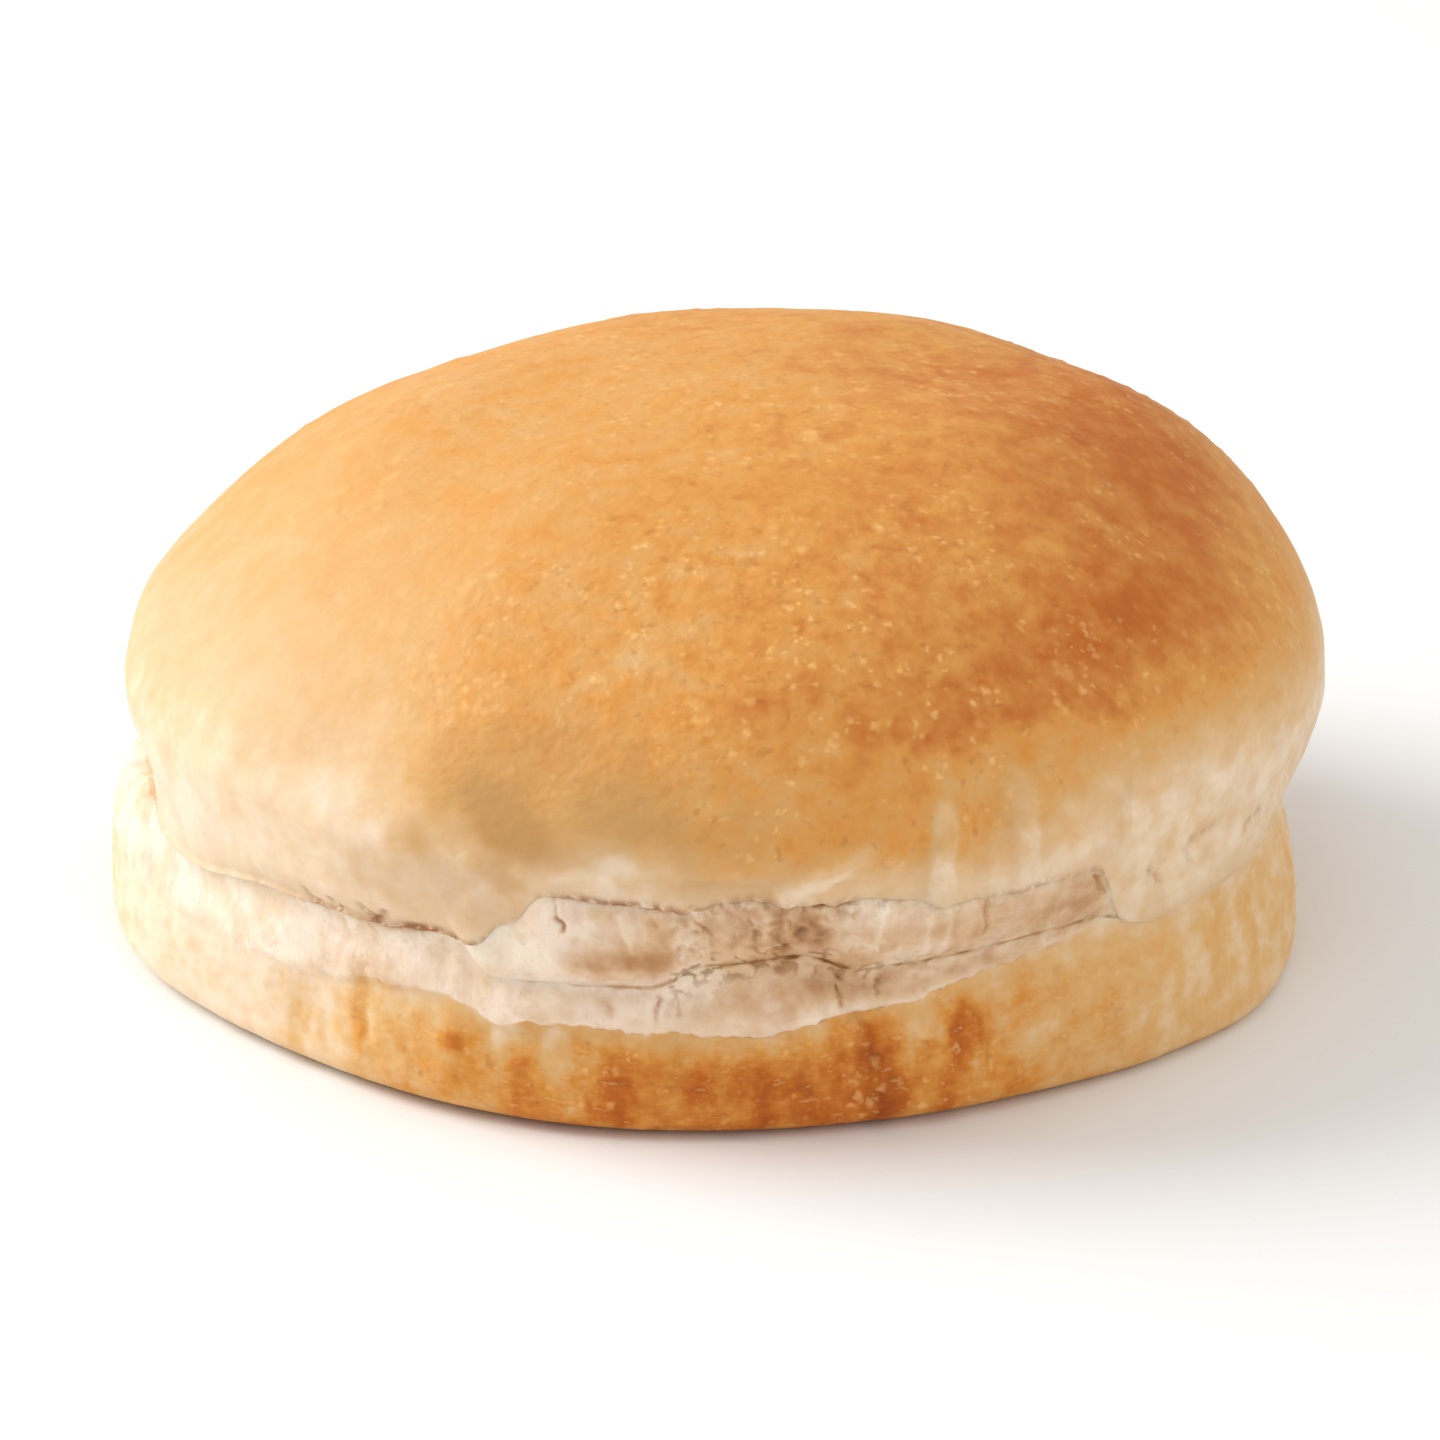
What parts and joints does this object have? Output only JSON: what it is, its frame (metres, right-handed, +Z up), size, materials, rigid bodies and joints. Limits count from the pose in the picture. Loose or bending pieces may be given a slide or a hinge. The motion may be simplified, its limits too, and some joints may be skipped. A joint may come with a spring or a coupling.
{
  "type": "hamburger bun",
  "caption": "Soft round hamburger bun sliced through: a domed golden crown resting on a thick flat heel, with torn pale crumb along the cut.",
  "frame": {"origin": "on the surface the bun stands on, under the middle of its box", "axes": "+Z up through the crown, -Y towards the side seen in the picture, +X to the right in the picture"},
  "size_m": [0.1032, 0.1026, 0.0481],
  "materials": {
    "crown": "soft golden crust with a faint sheen, pale torn crumb along the lower edge",
    "heel": "matt golden crust with a pale crumb rim"
  },
  "bodies": {
    "root": {"crown": "crown", "heel": "heel"}
  },
  "joints": []
}
